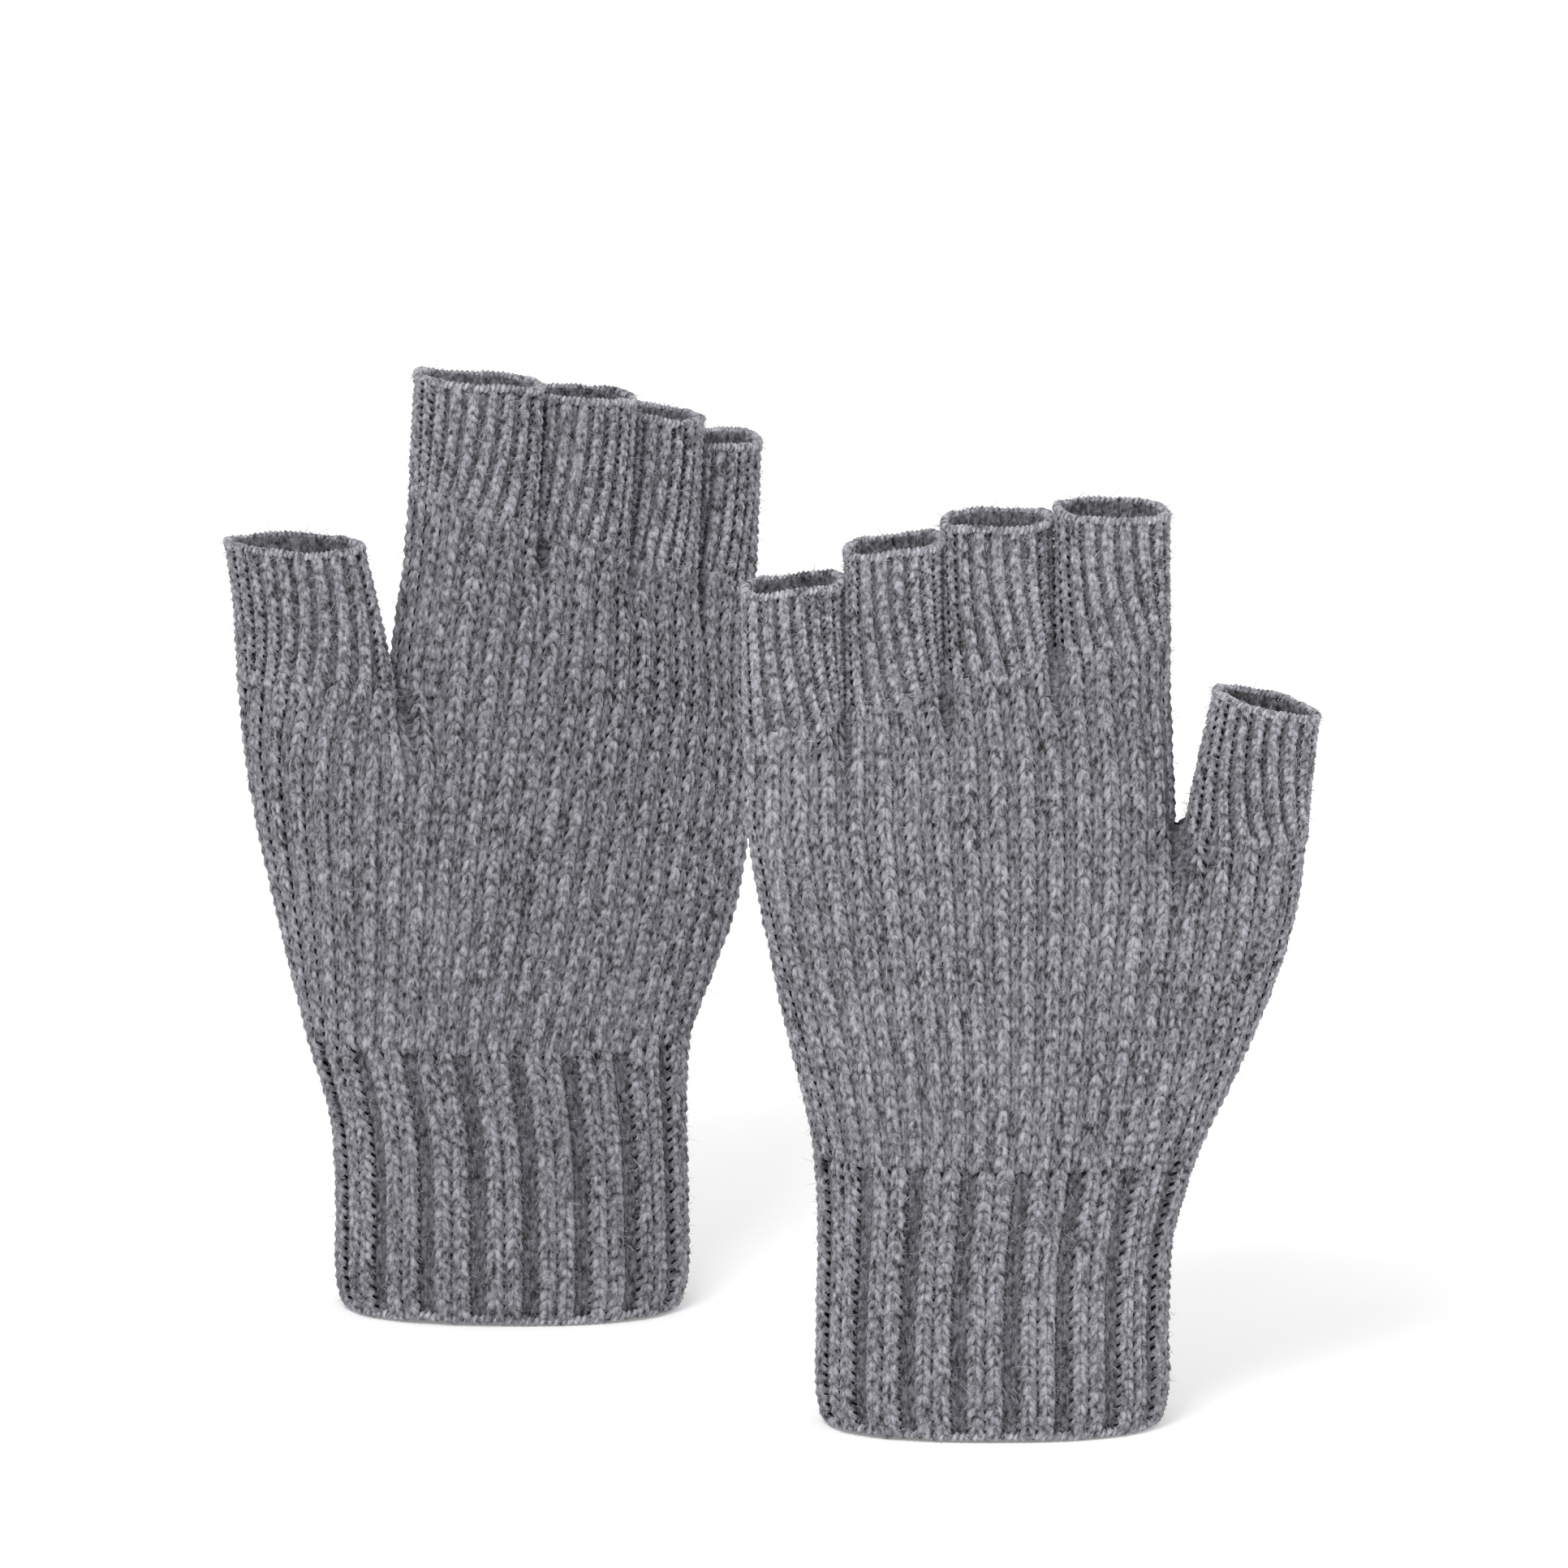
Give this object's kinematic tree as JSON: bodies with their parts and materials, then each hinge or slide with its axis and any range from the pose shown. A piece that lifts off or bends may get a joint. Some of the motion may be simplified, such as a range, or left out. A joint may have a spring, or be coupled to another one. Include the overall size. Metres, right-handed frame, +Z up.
{
  "type": "fingerless gloves",
  "caption": "Pair of half-finger knitted gloves with rib cuffs, open thumb and finger stalls that end below the fingertips, standing in worn shape.",
  "frame": {"origin": "centre of the pair on the surface both cuffs stand on", "axes": "+Z up from the cuffs to the finger openings; -Y towards the viewer, who sees the palm of the front glove; +X to the side the front glove's thumb points to"},
  "size_m": [0.217, 0.1965, 0.1867],
  "materials": {
    "rib_knit": "matte heather wool-blend yarn, 2x2 rib",
    "hand_knit": "matte heather wool-blend yarn, mock rib",
    "stall_knit": "matte heather wool-blend yarn, fine rib",
    "bound_edge_knit": "matte heather wool-blend yarn, chained edge"
  },
  "bodies": {
    "front_hand": {"front_cuff_edge": "bound_edge_knit", "front_cuff": "rib_knit", "front_lower_hand": "hand_knit", "front_upper_hand": "hand_knit"},
    "front_thumb": {"front_thumb_stall": "stall_knit", "front_thumb_edge": "bound_edge_knit"},
    "front_index": {"front_index_stall": "stall_knit", "front_index_edge": "bound_edge_knit"},
    "front_middle": {"front_middle_stall": "stall_knit", "front_middle_edge": "bound_edge_knit"},
    "front_ring": {"front_ring_stall": "stall_knit", "front_ring_edge": "bound_edge_knit"},
    "front_little": {"front_little_stall": "stall_knit", "front_little_edge": "bound_edge_knit"},
    "rear_hand": {"rear_cuff_edge": "bound_edge_knit", "rear_cuff": "rib_knit", "rear_lower_hand": "hand_knit", "rear_upper_hand": "hand_knit"},
    "rear_thumb": {"rear_thumb_stall": "stall_knit", "rear_thumb_edge": "bound_edge_knit"},
    "rear_index": {"rear_index_stall": "stall_knit", "rear_index_edge": "bound_edge_knit"},
    "rear_middle": {"rear_middle_stall": "stall_knit", "rear_middle_edge": "bound_edge_knit"},
    "rear_ring": {"rear_ring_stall": "stall_knit", "rear_ring_edge": "bound_edge_knit"},
    "rear_little": {"rear_little_stall": "stall_knit", "rear_little_edge": "bound_edge_knit"}
  },
  "joints": [
    {"name": "front_thumb_fold", "type": "hinge", "parent": "front_hand", "child": "front_thumb", "pos_m": [0.10076, -0.09337, 0.1222], "axis": [1, 0, 0], "range_deg": [0, 40], "stiffness_Nm_per_rad": 0.002},
    {"name": "front_index_fold", "type": "hinge", "parent": "front_hand", "child": "front_index", "pos_m": [0.07098, -0.08019, 0.1602], "axis": [1, 0, 0], "range_deg": [0, 50], "stiffness_Nm_per_rad": 0.002},
    {"name": "front_middle_fold", "type": "hinge", "parent": "front_hand", "child": "front_middle", "pos_m": [0.04422, -0.07711, 0.15364], "axis": [1, 0, 0], "range_deg": [0, 50], "stiffness_Nm_per_rad": 0.002},
    {"name": "front_ring_fold", "type": "hinge", "parent": "front_hand", "child": "front_ring", "pos_m": [0.02081, -0.07988, 0.14791], "axis": [1, 0, 0], "range_deg": [0, 50], "stiffness_Nm_per_rad": 0.002},
    {"name": "front_little_fold", "type": "hinge", "parent": "front_hand", "child": "front_little", "pos_m": [-0.00123, -0.08763, 0.14251], "axis": [1, 0, 0], "range_deg": [0, 50], "stiffness_Nm_per_rad": 0.002},
    {"name": "rear_thumb_fold", "type": "hinge", "parent": "rear_hand", "child": "rear_thumb", "pos_m": [-0.1032, 0.04281, 0.12806], "axis": [-0.8341, -0.5417, 0.1045], "range_deg": [0, 40], "stiffness_Nm_per_rad": 0.002},
    {"name": "rear_index_fold", "type": "hinge", "parent": "rear_hand", "child": "rear_index", "pos_m": [-0.06785, 0.05005, 0.16274], "axis": [-0.8341, -0.5417, 0.1045], "range_deg": [0, 50], "stiffness_Nm_per_rad": 0.002},
    {"name": "rear_middle_fold", "type": "hinge", "parent": "rear_hand", "child": "rear_middle", "pos_m": [-0.04443, 0.06158, 0.15342], "axis": [-0.8341, -0.5417, 0.1045], "range_deg": [0, 50], "stiffness_Nm_per_rad": 0.002},
    {"name": "rear_ring_fold", "type": "hinge", "parent": "rear_hand", "child": "rear_ring", "pos_m": [-0.02691, 0.07626, 0.14527], "axis": [-0.8341, -0.5417, 0.1045], "range_deg": [0, 50], "stiffness_Nm_per_rad": 0.002},
    {"name": "rear_little_fold", "type": "hinge", "parent": "rear_hand", "child": "rear_little", "pos_m": [-0.01322, 0.09439, 0.1376], "axis": [-0.8341, -0.5417, 0.1045], "range_deg": [0, 50], "stiffness_Nm_per_rad": 0.002},
    {"name": "rear_glove_lift", "type": "slide", "parent": "front_hand", "child": "rear_hand", "axis": [0, 0, 1], "range_m": [0, 0.2]}
  ]
}
